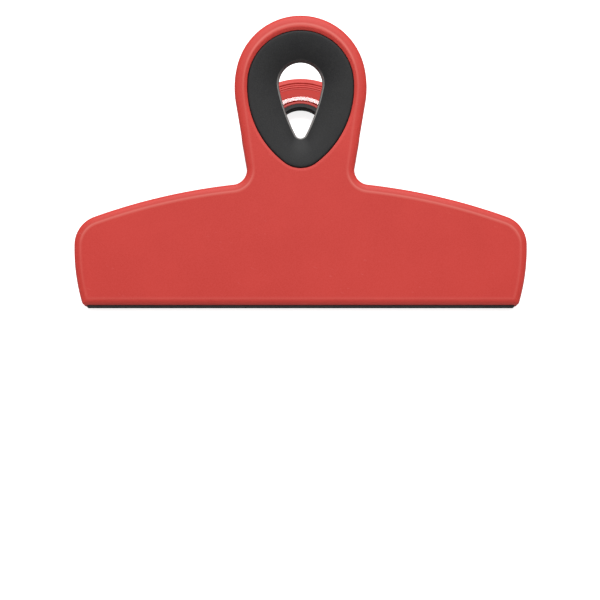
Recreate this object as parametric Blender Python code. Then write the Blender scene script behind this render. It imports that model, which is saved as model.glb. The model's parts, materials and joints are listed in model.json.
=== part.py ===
"""Wide-jaw spring bag clip: two alike moulded halves, hinged on a steel pin and closed by a torsion spring.

Units are metres, +Z is up.  The clip lies closed on its back half.  X runs along the jaw, +Y from the jaw's
lip to the handles.  The origin is on the flat back face, under the middle of the jaw.

Each half is drawn in its own half frame (x, v, d): x along the jaw, v from the lip end towards the handle,
d inwards from the outer face.  The two halves close on a middle plane that leans half the opening angle
away from each outer face, and the front half is the rear one turned half a turn about that plane's own line.
"""
import math

import bmesh
import bpy
from mathutils import Matrix, Vector

# ---- driving dimensions ------------------------------------------------------------------------------
JAW_WIDTH = 0.152            # widest part of the jaw
CLIP_LENGTH = 0.0962         # lip end to handle end, along one half
SPREAD = math.radians(30.0)  # angle between the two outer faces when the jaw is closed

SIDE_RADIUS = 0.0654         # bowed ends of the jaw
SIDE_HEIGHT = 0.0184         # v of the widest point
LIP_CORNER = 0.0012
JAW_CORNER = 0.0102          # upper outer corners of the jaw
SHOULDER_RADIUS = 0.2066     # long arc across the shoulders
SHOULDER_TOP = 0.0416        # v of that arc's crown on the centre line
NECK_FILLET = 0.0050
FLANK_LEAN = math.radians(9.6)
HANDLE_WIDTH = 0.0441
HANDLE_END_RADIUS = 0.0218
HANDLE_FLANK_RADIUS = 0.0297

WALL = 0.0021                # outer wall of the moulding
FLOOR = 0.0016               # plate thickness
RIM_DEPTH = 0.0043           # depth of the rim round the moulding
EDGE_WIDTH = 0.0023          # soft outer edge, measured across the face
EDGE_DEPTH = 0.0015          # and measured down the wall

LIP_HALF = 0.00255           # outer face to middle plane at the lip end
LIP_BAR = 0.0054             # width of the solid bar behind the lip
SEAL_WIDTH = 0.0040
SEAL_THICKNESS = 0.00095
SEAL_PROUD = 0.0006          # seal standing out of the lip bar
SEAL_MARGIN = 0.0014         # lip left bare at each end of the seal
SEAL_NOSE = 0.0010           # seal standing out past the lip end
SEAL_FIT = 0.00025           # play between seal and its rebate
CLOSED_GAP = 0.0003          # gap between the two seals

GRIP_BORDER = 0.0050         # handle left bare above the soft grip
GRIP_LENGTH = 0.0454
GRIP_TOP_RADIUS = 0.0177
GRIP_TIP_RADIUS = 0.0088
GRIP_FLANK_RADIUS = 0.0313
HOLE_BORDER = 0.0098         # grip left above the teardrop hole
HOLE_LENGTH = 0.0255
HOLE_TOP_RADIUS = 0.00730
HOLE_TIP_RADIUS = 0.0019
HOLE_FLANK_RADIUS = 0.0600
PAN_EDGE_DEPTH = 0.0016      # recess that takes the grip, at its edge
PAN_DEPTH = 0.0031           # and at the hole
PAN_WALL = 0.0012
COLLAR_WALL = 0.0017         # moulded collar round the hole
COLLAR_DEPTH = 0.0052
LINING = 0.0018              # soft lining inside the collar
LINING_PROUD = 0.0003        # lining standing out of the collar
GRIP_FIT = 0.00025           # play between grip and moulding
GRIP_SUNK = 0.0003           # grip's edge below the handle's face
GRIP_DISH = 0.0023           # further fall from there to the hole's mouth
DISH_START = 0.35            # share of the grip's width where the fall begins
DISH_START_FALL = 0.25       # share of the dish reached there
DISH_END = 0.70
DISH_END_FALL = 0.65
HOLE_FLARE = 0.0006          # soft mouth of the hole, measured across the face
HOLE_FLARE_DEPTH = 0.0009    # and measured down the hole

PIVOT_V = 0.0500             # v of the hinge axis
PIN_RADIUS = 0.0015
PIN_FIT = 0.0001             # radial play of the pin in the ears
PIN_HEAD_RADIUS = 0.0025
PIN_HEAD_THICKNESS = 0.0009
PIN_TAIL = 0.0009            # pin standing out past its retaining washer
WASHER_RADIUS = 0.0027
WASHER_THICKNESS = 0.0006
EAR_RADIUS = 0.0040
EAR_THICKNESS = 0.0021
EAR_FOOT = 0.0150            # length of an ear's foot on the plate
EAR_PLAY = 0.0004            # side play between ears, and between ears, head and washer
SPRING_PLAY = 0.0006         # side play between spring and ears

WIRE = 0.0014                # spring wire diameter
COIL_RADIUS = 0.0033         # to the middle of the wire
COIL_PITCH = 0.0025
COIL_TURNS = 6               # whole turns; the legs add a part turn
LEG_REACH = 0.0112           # v from the hinge axis to the leg's end
LEG_FOOT = 0.0020            # tip bent sideways
SEAT_HEIGHT = 0.0012         # rib that guides a leg
SEAT_RIB = 0.0009
SEAT_LENGTH = 0.0040
SEAT_PLAY = 0.00025
REST_GAP = 0.0003            # wire above the plate

RIB = 0.0011                 # stiffening ribs in the jaw
RIB_HEIGHT = 0.0017
RIB_SPACING = 0.0190
RIBS_PER_SIDE = 3
LONG_RIB_V = 0.0135

ORIGIN_V = 0.0240            # v of the origin, on the rear half's back face

# ---- derived places ----------------------------------------------------------------------------------
HALF_SPREAD = SPREAD / 2
PIVOT_D = LIP_HALF + PIVOT_V * math.tan(HALF_SPREAD)
HINGE = Vector((0.0, PIVOT_V - ORIGIN_V, PIVOT_D))
MIDDLE_LINE = Vector((0.0, math.cos(HALF_SPREAD), math.sin(HALF_SPREAD)))
BAR_CLEAR = CLOSED_GAP / 2 + SEAL_PROUD
GRIP_TOP = CLIP_LENGTH - GRIP_BORDER
HOLE_TOP = GRIP_TOP - HOLE_BORDER
PAN_FLOOR = PAN_DEPTH + PAN_WALL
OVERLAP = 0.0004             # how far joined shapes run into each other
ROUND_SIDES = 32


# ---- small plane geometry ----------------------------------------------------------------------------
def middle_depth(v):
    """Depth of the middle plane below the outer face, at v."""
    return LIP_HALF + v * math.tan(HALF_SPREAD)


def rim_depth(v):
    """Depth of the rim: level, but nearer the lip it follows the closing face of the bar."""
    return min(RIM_DEPTH, middle_depth(v) - BAR_CLEAR / math.cos(HALF_SPREAD))


def arc(centre, radius, start, end, steps):
    """Points on an arc, both ends included."""
    angles = [start + (end - start) * k / steps for k in range(steps + 1)]
    return [(centre[0] + radius * math.cos(a), centre[1] + radius * math.sin(a)) for a in angles]


def heading(a, b):
    return math.atan2(b[1] - a[1], b[0] - a[0])


def mirrored_loop(right):
    """Close a right-hand chain, drawn from the lip upwards, with its mirror image."""
    left = [(-x, v) for x, v in reversed(right[1:-1])]
    return right + left


def outline(inset=0.0, lip_inset=None):
    """Edge of one half, parallel to the outer edge by inset, and by lip_inset along the lip."""
    lip = inset if lip_inset is None else lip_inset
    side = (JAW_WIDTH / 2 - SIDE_RADIUS, SIDE_HEIGHT)
    crown = (0.0, SHOULDER_TOP - SHOULDER_RADIUS)
    end = (0.0, CLIP_LENGTH - HANDLE_END_RADIUS)
    shift = HANDLE_FLANK_RADIUS - HANDLE_WIDTH / 2
    drop = math.sqrt((HANDLE_FLANK_RADIUS - HANDLE_END_RADIUS) ** 2 - shift ** 2)
    flank = (-shift, end[1] - drop)

    # upper jaw corner: its centre is inside both the side arc and the shoulder arc
    reach_side = SIDE_RADIUS - JAW_CORNER
    reach_crown = SHOULDER_RADIUS - JAW_CORNER
    gap = math.dist(side, crown)
    along = (reach_crown ** 2 - reach_side ** 2 + gap ** 2) / (2 * gap)
    off = math.sqrt(reach_crown ** 2 - along ** 2)
    ux, uv = (side[0] - crown[0]) / gap, (side[1] - crown[1]) / gap
    corner = (crown[0] + along * ux + off * uv, crown[1] + along * uv - off * ux)

    # neck fillet: outside the shoulder arc and outside the straight flank
    nx, nv = math.cos(FLANK_LEAN), -math.sin(FLANK_LEAN)
    level = nx * flank[0] + nv * flank[1] + HANDLE_FLANK_RADIUS + NECK_FILLET
    base = (nx * level, nv * level)
    tx, tv = -nv, nx
    dot = tx * (base[0] - crown[0]) + tv * (base[1] - crown[1])
    rest = math.dist(base, crown) ** 2 - (SHOULDER_RADIUS + NECK_FILLET) ** 2
    travel = -dot + math.sqrt(dot * dot - rest)
    neck = (base[0] + tx * travel, base[1] + tv * travel)

    # lip corner, drawn afresh for each inset so that it never closes up
    small = max(LIP_CORNER - inset, LIP_CORNER / 4)
    reach = SIDE_RADIUS - inset - small
    lip_corner = (side[0] + math.sqrt(reach ** 2 - (lip + small - side[1]) ** 2), lip + small)

    a_lip = heading(side, lip_corner)
    a_corner = heading(side, corner)
    a_crown = heading(crown, corner)
    a_neck = heading(crown, neck)
    a_end = heading(flank, end)
    chain = [(0.0, lip)]
    chain += arc(lip_corner, small, -math.pi / 2, a_lip, 4)
    chain += arc(side, SIDE_RADIUS - inset, a_lip, a_corner, 6)[1:-1]
    chain += arc(corner, JAW_CORNER - inset, a_corner, a_crown, 8)
    chain += arc(crown, SHOULDER_RADIUS - inset, a_crown, a_neck, 8)[1:-1]
    chain += arc(neck, NECK_FILLET + inset, a_neck + math.pi, math.pi - FLANK_LEAN, 7)
    chain += arc(flank, HANDLE_FLANK_RADIUS - inset, -FLANK_LEAN, a_end, 6)
    chain += arc(end, HANDLE_END_RADIUS - inset, a_end, math.pi / 2, 9)[1:]
    return mirrored_loop(chain)


def teardrop(top, length, top_radius, tip_radius, flank_radius, grow=0.0):
    """Egg or teardrop standing on its tip: two end arcs joined by long flank arcs, grown by grow."""
    upper = (0.0, top - top_radius)
    lower = (0.0, top - length + tip_radius)
    gap = upper[1] - lower[1]
    reach_upper = flank_radius - top_radius
    reach_lower = flank_radius - tip_radius
    below = (reach_upper ** 2 - reach_lower ** 2 + gap ** 2) / (2 * gap)
    flank = (-math.sqrt(reach_upper ** 2 - below ** 2), upper[1] - below)
    a_lower = heading(flank, lower)
    a_upper = heading(flank, upper)
    chain = arc(lower, tip_radius + grow, -math.pi / 2, a_lower, 5)[:-1]
    chain += arc(flank, flank_radius + grow, a_lower, a_upper, 6)
    chain += arc(upper, top_radius + grow, a_upper, math.pi / 2, 9)[1:]
    return mirrored_loop(chain)


def grip_edge(grow=0.0):
    return teardrop(GRIP_TOP, GRIP_LENGTH, GRIP_TOP_RADIUS, GRIP_TIP_RADIUS, GRIP_FLANK_RADIUS, grow)


def hole_edge(grow=0.0):
    return teardrop(HOLE_TOP, HOLE_LENGTH, HOLE_TOP_RADIUS, HOLE_TIP_RADIUS, HOLE_FLANK_RADIUS, grow)


def between(first, second, share):
    """Loop part of the way from one loop to another with as many points."""
    return [(a[0] + (b[0] - a[0]) * share, a[1] + (b[1] - a[1]) * share) for a, b in zip(first, second)]


def level_loop(points, depth):
    return [Vector((x, v, depth)) for x, v in points]


# ---- meshes ------------------------------------------------------------------------------------------
def loft(name, loops, capped=True):
    """Skin a list of loops; closed end to end with caps, or joined into a ring without them."""
    mesh = bmesh.new()
    rows = [[mesh.verts.new(p) for p in loop] for loop in loops]
    if not capped:
        rows.append(rows[0])
    for low, high in zip(rows, rows[1:]):
        for k in range(len(low)):
            nxt = (k + 1) % len(low)
            mesh.faces.new((low[k], low[nxt], high[nxt], high[k]))
    if capped:
        mesh.faces.new(list(reversed(rows[0])))
        mesh.faces.new(rows[-1])
    bmesh.ops.recalc_face_normals(mesh, faces=mesh.faces)
    return mesh_object(name, mesh)


def mesh_object(name, mesh):
    data = bpy.data.meshes.new(name)
    mesh.to_mesh(data)
    mesh.free()
    item = bpy.data.objects.new(name, data)
    bpy.context.collection.objects.link(item)
    return item


def slab(name, corners, low, high):
    """Prism with its outline in the v-d plane, running along x from low to high."""
    return loft(name, [[Vector((x, v, d)) for v, d in corners] for x in (low, high)])


def block(name, low, high):
    """Box between two corners of the half frame."""
    corners = [(low[1], low[2]), (high[1], low[2]), (high[1], high[2]), (low[1], high[2])]
    return slab(name, corners, low[0], high[0])


def rod(name, radius, low, high, v, d):
    """Round bar along x."""
    angles = [2 * math.pi * k / ROUND_SIDES for k in range(ROUND_SIDES)]
    return slab(name, [(v + radius * math.cos(a), d + radius * math.sin(a)) for a in angles], low, high)


def combine(item, tool, operation):
    """Apply one Boolean and drop its tool."""
    change = item.modifiers.new("combine", "BOOLEAN")
    change.operation = operation
    change.object = tool
    change.solver = "EXACT"
    graph = bpy.context.evaluated_depsgraph_get()
    data = bpy.data.meshes.new_from_object(item.evaluated_get(graph))
    item.modifiers.remove(change)
    old = item.data
    item.data = data
    bpy.data.meshes.remove(old)
    bpy.data.objects.remove(tool)


def weld(item):
    """Merge the near-double points that Booleans leave, and the slivers with them."""
    mesh = bmesh.new()
    mesh.from_mesh(item.data)
    bmesh.ops.remove_doubles(mesh, verts=mesh.verts, dist=0.00001)
    bmesh.ops.dissolve_degenerate(mesh, edges=mesh.edges, dist=0.00001)
    bmesh.ops.triangulate(mesh, faces=mesh.faces)
    mesh.to_mesh(item.data)
    mesh.free()


# ---- materials ---------------------------------------------------------------------------------------
def material(name, colour, roughness, metallic=0.0):
    finish = bpy.data.materials.new(name)
    finish.use_nodes = True
    shader = finish.node_tree.nodes["Principled BSDF"]
    shader.inputs["Base Color"].default_value = (*colour, 1.0)
    shader.inputs["Roughness"].default_value = roughness
    shader.inputs["Metallic"].default_value = metallic
    finish.diffuse_color = (*colour, 1.0)
    return finish


# ---- the moulded half --------------------------------------------------------------------------------
def shell_body():
    """Tray: soft outer edge, rim, and a floor that stops short of the solid lip bar."""
    loops = []
    for turn in (90, 60, 30, 0):
        angle = math.radians(turn)
        inset = EDGE_WIDTH * (1 - math.cos(angle))
        depth = EDGE_DEPTH * (1 - math.sin(angle))
        loops.append(level_loop(outline(inset), depth))
    outer = outline()
    inner = outline(WALL, LIP_BAR)
    loops.append([Vector((x, v, rim_depth(v))) for x, v in outer])
    loops.append([Vector((x, v, rim_depth(v))) for x, v in inner])
    loops.append(level_loop(inner, FLOOR))
    return loft("shell", loops)


def add_pan_and_collar(shell):
    """Dished floor behind the grip, and the collar round the hole."""
    around = LINING + GRIP_FIT + COLLAR_WALL
    border = grip_edge(GRIP_FIT + PAN_WALL)
    stages = ((border, FLOOR - OVERLAP), (border, PAN_EDGE_DEPTH + PAN_WALL), (hole_edge(around), PAN_FLOOR))
    combine(shell, loft("pan", [level_loop(points, depth) for points, depth in stages]), "UNION")
    collar = loft("collar", [level_loop(hole_edge(around), d) for d in (PAN_FLOOR - OVERLAP, COLLAR_DEPTH)])
    combine(shell, collar, "UNION")


def cut_pan_and_hole(shell):
    """The grip's recess, flared where it meets the handle's face, and the hole through it."""
    flare = 2 * GRIP_SUNK
    mouth = [(flare + GRIP_FIT + OVERLAP, -OVERLAP), (GRIP_FIT, flare), (GRIP_FIT, PAN_EDGE_DEPTH)]
    loops = [level_loop(grip_edge(grow), depth) for grow, depth in mouth]
    loops.append(level_loop(hole_edge(LINING + GRIP_FIT), PAN_DEPTH))
    combine(shell, loft("recess", loops), "DIFFERENCE")
    span = (PAN_DEPTH - OVERLAP, COLLAR_DEPTH + OVERLAP)
    bore = loft("bore", [level_loop(hole_edge(LINING + GRIP_FIT), d) for d in span])
    combine(shell, bore, "DIFFERENCE")


def shoulder_height(x):
    return SHOULDER_TOP - SHOULDER_RADIUS + math.sqrt(SHOULDER_RADIUS ** 2 - x * x)


def add_ribs(shell):
    """One long rib along the jaw and short ones across it."""
    low, high = FLOOR - OVERLAP, FLOOR + RIB_HEIGHT
    reach = JAW_WIDTH / 2 - SIDE_RADIUS
    reach += math.sqrt(SIDE_RADIUS ** 2 - (LONG_RIB_V - SIDE_HEIGHT) ** 2) - WALL / 2
    combine(shell, block("rib", (-reach, LONG_RIB_V, low), (reach, LONG_RIB_V + RIB, high)), "UNION")
    for side in (-1, 1):
        for k in range(1, RIBS_PER_SIDE + 1):
            x = side * k * RIB_SPACING
            top = shoulder_height(abs(x) + RIB) - WALL / 2
            start = LIP_BAR - OVERLAP
            rib = block("rib", (x - RIB / 2, start, low), (x + RIB / 2, top, high + RIB / 4))
            combine(shell, rib, "UNION")


LEG_X = COIL_PITCH * (COIL_TURNS + 0.5) / 2
INNER_EAR = LEG_X + WIRE / 2 + SPRING_PLAY
OUTER_EAR = INNER_EAR + EAR_THICKNESS + EAR_PLAY
EAR_END = OUTER_EAR + EAR_THICKNESS


def ear(low, high):
    """Hinge ear: a foot on the plate that narrows to a round eye on the axis."""
    foot = EAR_FOOT / 2
    reach = PIVOT_D - FLOOR + OVERLAP
    start = math.acos(EAR_RADIUS / math.hypot(foot, reach)) - math.atan2(reach, foot)
    eye = arc((PIVOT_V, PIVOT_D), EAR_RADIUS, start, math.pi - start, 16)
    corners = [(PIVOT_V - foot, FLOOR - OVERLAP), (PIVOT_V + foot, FLOOR - OVERLAP)] + eye
    return slab("ear", corners, low, high)


def add_ears(shell):
    combine(shell, ear(OUTER_EAR, EAR_END), "UNION")
    combine(shell, ear(-INNER_EAR - EAR_THICKNESS, -INNER_EAR), "UNION")
    eye = rod("eye", PIN_RADIUS + PIN_FIT, -EAR_END - OVERLAP, EAR_END + OVERLAP, PIVOT_V, PIVOT_D)
    combine(shell, eye, "DIFFERENCE")


def add_leg_seat(shell):
    """Low rib that keeps a spring leg from wandering on to the collar."""
    low, high = FLOOR - OVERLAP, PAN_FLOOR + SEAT_HEIGHT
    start, end = PIVOT_V + LEG_REACH - SEAT_LENGTH, PIVOT_V + LEG_REACH + WIRE
    x = LEG_X - WIRE / 2 - SEAT_PLAY
    combine(shell, block("seat", (x - SEAT_RIB, start, low), (x, end, high)), "UNION")


def cut_seal_rebate(shell):
    """Rebate along the lip, open at the lip end, that takes the soft seal strip."""
    combine(shell, seal_prism("rebate", SEAL_FIT, 4 * OVERLAP), "DIFFERENCE")


def seal_prism(name, grow=0.0, past=0.0):
    """Strip lying on the lip bar's closing face; grown, and run past the bar, it also cuts its rebate."""
    along = Vector((math.cos(HALF_SPREAD), math.sin(HALF_SPREAD)))
    inward = Vector((-math.sin(HALF_SPREAD), math.cos(HALF_SPREAD)))
    middle = Vector((0.0, LIP_HALF))
    top = -CLOSED_GAP / 2 + past
    under = -CLOSED_GAP / 2 - SEAL_THICKNESS - grow
    near = -SEAL_NOSE - past
    far = SEAL_WIDTH + grow
    spots = ((near, under), (far, under), (far, top), (near, top))
    corners = [tuple(middle + along * s + inward * t) for s, t in spots]
    half = lip_half_width() - SEAL_MARGIN + grow
    return slab(name, corners, -half, half)


def lip_half_width():
    side = JAW_WIDTH / 2 - SIDE_RADIUS
    return side + math.sqrt(SIDE_RADIUS ** 2 - SIDE_HEIGHT ** 2)


def moulded_half():
    shell = shell_body()
    add_pan_and_collar(shell)
    add_ribs(shell)
    add_ears(shell)
    add_leg_seat(shell)
    cut_pan_and_hole(shell)
    cut_seal_rebate(shell)
    weld(shell)
    return shell


# ---- soft grip and seal ------------------------------------------------------------------------------
def soft_grip():
    """Egg-shaped ring that dishes towards the hole and lines it."""
    under = PAN_EDGE_DEPTH - GRIP_FIT
    mouth = GRIP_SUNK + GRIP_DISH
    outer, inner = grip_edge(), hole_edge(HOLE_FLARE)
    loops = [
        level_loop(outer, under),
        level_loop(outer, 2 * GRIP_SUNK),
        level_loop(grip_edge(-GRIP_SUNK), GRIP_SUNK),
        level_loop(between(outer, inner, DISH_START), GRIP_SUNK + GRIP_DISH * DISH_START_FALL),
        level_loop(between(outer, inner, DISH_END), GRIP_SUNK + GRIP_DISH * DISH_END_FALL),
    ]
    for turn in (0, 30, 60, 90):
        angle = math.radians(turn)
        wider = HOLE_FLARE * (1 - math.sin(angle))
        deeper = HOLE_FLARE_DEPTH * (1 - math.cos(angle))
        loops.append(level_loop(hole_edge(wider), mouth + deeper))
    loops += [
        level_loop(hole_edge(), COLLAR_DEPTH + LINING_PROUD),
        level_loop(hole_edge(LINING), COLLAR_DEPTH + LINING_PROUD),
        level_loop(hole_edge(LINING), PAN_DEPTH - GRIP_FIT),
    ]
    return loft("grip", loops, capped=False)


def seal_strip():
    return seal_prism("seal")


# ---- hinge hardware ----------------------------------------------------------------------------------
def hinge_pin():
    """Plain pin with a head at its left end."""
    shank_end = EAR_END + EAR_PLAY + WASHER_THICKNESS + PIN_TAIL
    head = -EAR_END - EAR_PLAY
    pin = rod("pin", PIN_RADIUS, head - PIN_HEAD_THICKNESS / 2, shank_end, PIVOT_V, PIVOT_D)
    combine(pin, rod("head", PIN_HEAD_RADIUS, head - PIN_HEAD_THICKNESS, head, PIVOT_V, PIVOT_D), "UNION")
    weld(pin)
    return pin


def pin_washer():
    """Retaining washer that is pushed on to the pin's plain end."""
    low = EAR_END + EAR_PLAY
    high = low + WASHER_THICKNESS
    washer = rod("washer", WASHER_RADIUS, low, high, PIVOT_V, PIVOT_D)
    hole = rod("hole", PIN_RADIUS + PIN_FIT, low - OVERLAP, high + OVERLAP, PIVOT_V, PIVOT_D)
    combine(washer, hole, "DIFFERENCE")
    weld(washer)
    return washer


def leg_angle():
    """Fall of the rear leg, so that the wire's end rests just above the pan's inner face."""
    drop = PIVOT_D - (PAN_FLOOR + REST_GAP + WIRE / 2)
    angle = 0.0
    for _ in range(40):
        angle = math.atan2(drop - COIL_RADIUS / math.cos(angle), LEG_REACH)
    return angle


def spring_path():
    """Centre line from the rear leg's tip, through the coil, to the front leg's tip."""
    fall = leg_angle()
    turned = 2 * HALF_SPREAD + fall
    first = math.pi / 2 + turned
    last = 2 * math.pi * (COIL_TURNS + 1) - math.pi / 2 - fall
    count = COIL_TURNS * 18
    coil = []
    for k in range(count + 1):
        share = k / count
        a = first + (last - first) * share
        x = -LEG_X + 2 * LEG_X * share
        coil.append(Vector((x, COIL_RADIUS * math.cos(a), COIL_RADIUS * math.sin(a))))
    rear = leg_points(coil[-1], fall)
    front = [half_turn(p) for p in rear]
    return list(reversed(front)) + coil + rear


def half_turn(point):
    """Half a turn about the middle line through the hinge."""
    return 2 * MIDDLE_LINE.dot(point) * MIDDLE_LINE - point


def leg_points(start, fall):
    """Straight leg, then a small bend into a sideways foot."""
    run = (LEG_REACH - start.y) / math.cos(fall)
    way = Vector((0.0, math.cos(fall), -math.sin(fall)))
    tip = start + way * run
    bend = WIRE
    points = [start + way * (run - bend) * share for share in (0.2, 0.5, 0.8, 1.0)]
    for turn in (22.5, 45.0, 67.5, 90.0):
        a = math.radians(turn)
        points.append(tip - way * bend * (1 - math.sin(a)) + Vector((bend * (1 - math.cos(a)), 0, 0)))
    points.append(points[-1] + Vector((LEG_FOOT, 0, 0)))
    return points


def tube(name, path, radius, sides=8):
    """Round wire along a path, with frames carried from point to point."""
    side = Vector((0, 1, 0))
    loops = []
    for k, point in enumerate(path):
        ahead = path[min(k + 1, len(path) - 1)] - path[max(k - 1, 0)]
        ahead.normalize()
        side = (side - ahead * side.dot(ahead)).normalized()
        other = ahead.cross(side)
        angles = [2 * math.pi * (j + 0.5) / sides for j in range(sides)]
        loops.append([point + radius * (math.cos(a) * side + math.sin(a) * other) for a in angles])
    return loft(name, loops)


def torsion_spring():
    spring = tube("spring", spring_path(), WIRE / 2)
    spring.data.transform(Matrix.Translation((0.0, PIVOT_V, PIVOT_D)))
    return spring


# ---- assembly ----------------------------------------------------------------------------------------
def pivot_empty(name, turned):
    """Empty on the hinge axis; the front one carries the half turn."""
    empty = bpy.data.objects.new(name, None)
    bpy.context.collection.objects.link(empty)
    turn = Matrix.Rotation(math.pi, 4, MIDDLE_LINE) if turned else Matrix.Identity(4)
    empty.matrix_world = Matrix.Translation(HINGE) @ turn
    return empty


def place(item, name, pivot, finish):
    """Name a finished piece, move its mesh on to the hinge axis and hang it on its pivot."""
    item.name = name
    item.data.name = name
    item.data.transform(Matrix.Translation((0.0, -PIVOT_V, -PIVOT_D)))
    item.data.materials.clear()
    item.data.materials.append(finish)
    item.data.shade_smooth()
    item.data.set_sharp_from_angle(angle=math.radians(30))
    item.parent = pivot


def twin(item, name, pivot):
    """The same moulding used again in the other half."""
    copy = bpy.data.objects.new(name, item.data)
    bpy.context.collection.objects.link(copy)
    copy.parent = pivot


def build():
    for item in list(bpy.data.objects):
        bpy.data.objects.remove(item, do_unlink=True)
    red = material("red_plastic", (0.60, 0.070, 0.055), 0.45)
    black = material("black_soft_rubber", (0.028, 0.028, 0.028), 0.60)
    steel = material("plated_steel", (0.62, 0.62, 0.64), 0.25, 1.0)
    rear = pivot_empty("rear_half_pivot", False)
    front = pivot_empty("front_half_pivot", True)

    halves = ((moulded_half, "shell", red), (soft_grip, "grip", black), (seal_strip, "seal", black))
    for make, kind, finish in halves:
        piece = make()
        place(piece, "rear_" + kind, rear, finish)
        twin(piece, "front_" + kind, front)
    place(hinge_pin(), "hinge_pin", rear, steel)
    place(pin_washer(), "pin_washer", rear, steel)
    place(torsion_spring(), "torsion_spring", rear, steel)


build()
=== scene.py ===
"""Wide-jaw bag clip, closed and lying on its back half, on a pale studio floor."""
import json
import math

import bpy
from mathutils import Matrix, Vector
from mathutils.kdtree import KDTree


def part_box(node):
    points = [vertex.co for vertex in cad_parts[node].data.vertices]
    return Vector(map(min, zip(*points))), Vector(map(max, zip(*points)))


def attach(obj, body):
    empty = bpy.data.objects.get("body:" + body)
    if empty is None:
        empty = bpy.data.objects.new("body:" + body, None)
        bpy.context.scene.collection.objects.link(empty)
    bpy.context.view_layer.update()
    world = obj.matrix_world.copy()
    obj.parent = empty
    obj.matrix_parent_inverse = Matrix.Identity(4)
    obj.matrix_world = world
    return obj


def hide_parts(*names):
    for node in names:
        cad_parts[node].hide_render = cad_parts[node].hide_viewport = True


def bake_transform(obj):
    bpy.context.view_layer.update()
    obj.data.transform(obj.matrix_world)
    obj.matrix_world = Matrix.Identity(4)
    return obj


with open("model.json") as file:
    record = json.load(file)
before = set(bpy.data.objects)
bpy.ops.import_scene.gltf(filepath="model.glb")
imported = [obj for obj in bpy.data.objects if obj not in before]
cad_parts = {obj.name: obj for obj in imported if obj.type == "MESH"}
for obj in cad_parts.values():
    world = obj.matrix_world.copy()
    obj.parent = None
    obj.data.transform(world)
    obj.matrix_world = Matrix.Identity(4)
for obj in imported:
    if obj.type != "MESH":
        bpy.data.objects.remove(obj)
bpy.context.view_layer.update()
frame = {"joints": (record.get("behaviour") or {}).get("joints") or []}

# ---- sizes, in metres --------------------------------------------------------------------------------
# Half frame (x, v, d): x along the jaw, v from the lip to the handle, d inwards from the outer face.
shell_low, shell_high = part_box("rear_shell")
hinge = Vector(frame["joints"][0]["pos_m"])
half_spread = math.radians(15.0)
middle_line = Vector((0.0, math.cos(half_spread), math.sin(half_spread)))

lip_v = -shell_low.y                      # v of the origin
jaw_width = shell_high.x - shell_low.x
clip_length = shell_high.y - shell_low.y
pivot_v = hinge.y + lip_v
pivot_d = hinge.z
lip_half = pivot_d - pivot_v * math.tan(half_spread)

side_radius, side_height = 0.0654, 0.0184
lip_corner, jaw_corner = 0.0012, 0.0102
shoulder_radius, shoulder_top = 0.2066, 0.0416
neck_fillet, flank_lean = 0.0050, math.radians(9.6)
handle_width, handle_end_radius, handle_flank_radius = 0.0441, 0.0218, 0.0297

wall, plate, rim = 0.0021, 0.0016, 0.0043
edge_width, handle_edge_width, edge_depth = 0.0023, 0.0030, 0.0015
face_margin, face_border = 0.0008, 0.0002
crease_width, crease_depth = 0.0003, 0.0004
rim_round, foot_reach, foot_rise, foot_end = 0.00035, 0.0018, 0.0023, 0.0003
corner_share = 0.29                       # how far a quarter round's middle stands in from the corner
lip_bar, lip_clear = 0.0054, 0.00075
handle_steps = ((0.0, 0.0), (0.00008, 0.00025), (0.00060, 0.00032), (0.00075, 0.00062),
                (0.00125, 0.00070), (0.00140, 0.00105), (0.0018, 0.00112))

grip_top, grip_length = clip_length - 0.0050, 0.0454
grip_top_radius, grip_tip_radius, grip_flank_radius = 0.0177, 0.0088, 0.0313
hole_top, hole_length = grip_top - 0.0098, 0.0252
hole_top_radius, hole_tip_radius, hole_flank_radius = 0.0073, 0.0019, 0.0600
pan_edge_depth, pan_depth, pan_wall = 0.0016, 0.0031, 0.0012
pan_floor = pan_depth + pan_wall
pan_round, collar_round, bore_round = 0.0005, 0.0003, 0.0002
collar_wall, collar_depth = 0.0012, 0.0052
ring_width, ring_depth, ring_root = 0.0026, 0.00445, 0.0009
moat, moat_depth, moat_gap = 0.00095, 0.0037, 0.00002
groove_width, groove_depth, groove_least = 0.0011, 0.0005, 0.3
lining, lining_proud = 0.0019, 0.0003
grip_gap = 0.00010
grip_edge_depth, grip_dish, grip_round, grip_land = 0.0004, 0.0022, 0.0006, 0.0009
dish_rings, dish_start, dish_power = 12, 0.35, 2.2
hole_flare, hole_flare_depth, neck_draft = 0.0008, 0.0009, 0.0003

seal_width, seal_thickness, seal_margin, seal_nose = 0.0040, 0.00095, 0.0014, 0.0010
seal_gap, seal_round, closed_gap = 0.0001, 0.00022, 0.0003

rib, rib_height, rib_round, rib_spacing, long_rib_v = 0.0011, 0.0017, 0.00018, 0.0190, 0.0135
pin_radius, pin_head_radius, pin_head_thickness, pin_tail = 0.0015, 0.0025, 0.0009, 0.0009
washer_radius, washer_thickness = 0.0027, 0.0006
ear_radius, ear_thickness, ear_foot, ear_play, ear_round = 0.0040, 0.0021, 0.0150, 0.0004, 0.00025
wire, coil_radius, coil_pitch, coil_turns = 0.0014, 0.0033, 0.0025, 6
leg_x = coil_pitch * (coil_turns + 0.5) / 2
leg_reach, leg_foot, rest_gap = 0.0112, 0.0020, 0.0003
seat_height, seat_length, seat_rib, seat_play, seat_round = 0.0012, 0.0040, 0.0009, 0.00025, 0.00015
coil_room = 0.0006
inner_ear = leg_x + wire / 2 + coil_room
outer_ear = inner_ear + ear_thickness + ear_play
ear_end = outer_ear + ear_thickness
overlap = 0.0004


# ---- plane curves ------------------------------------------------------------------------------------
def middle_depth(v):
    return lip_half + v * math.tan(half_spread)


def rim_depth(v):
    return min(rim, middle_depth(v) - lip_clear / math.cos(half_spread))


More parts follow.
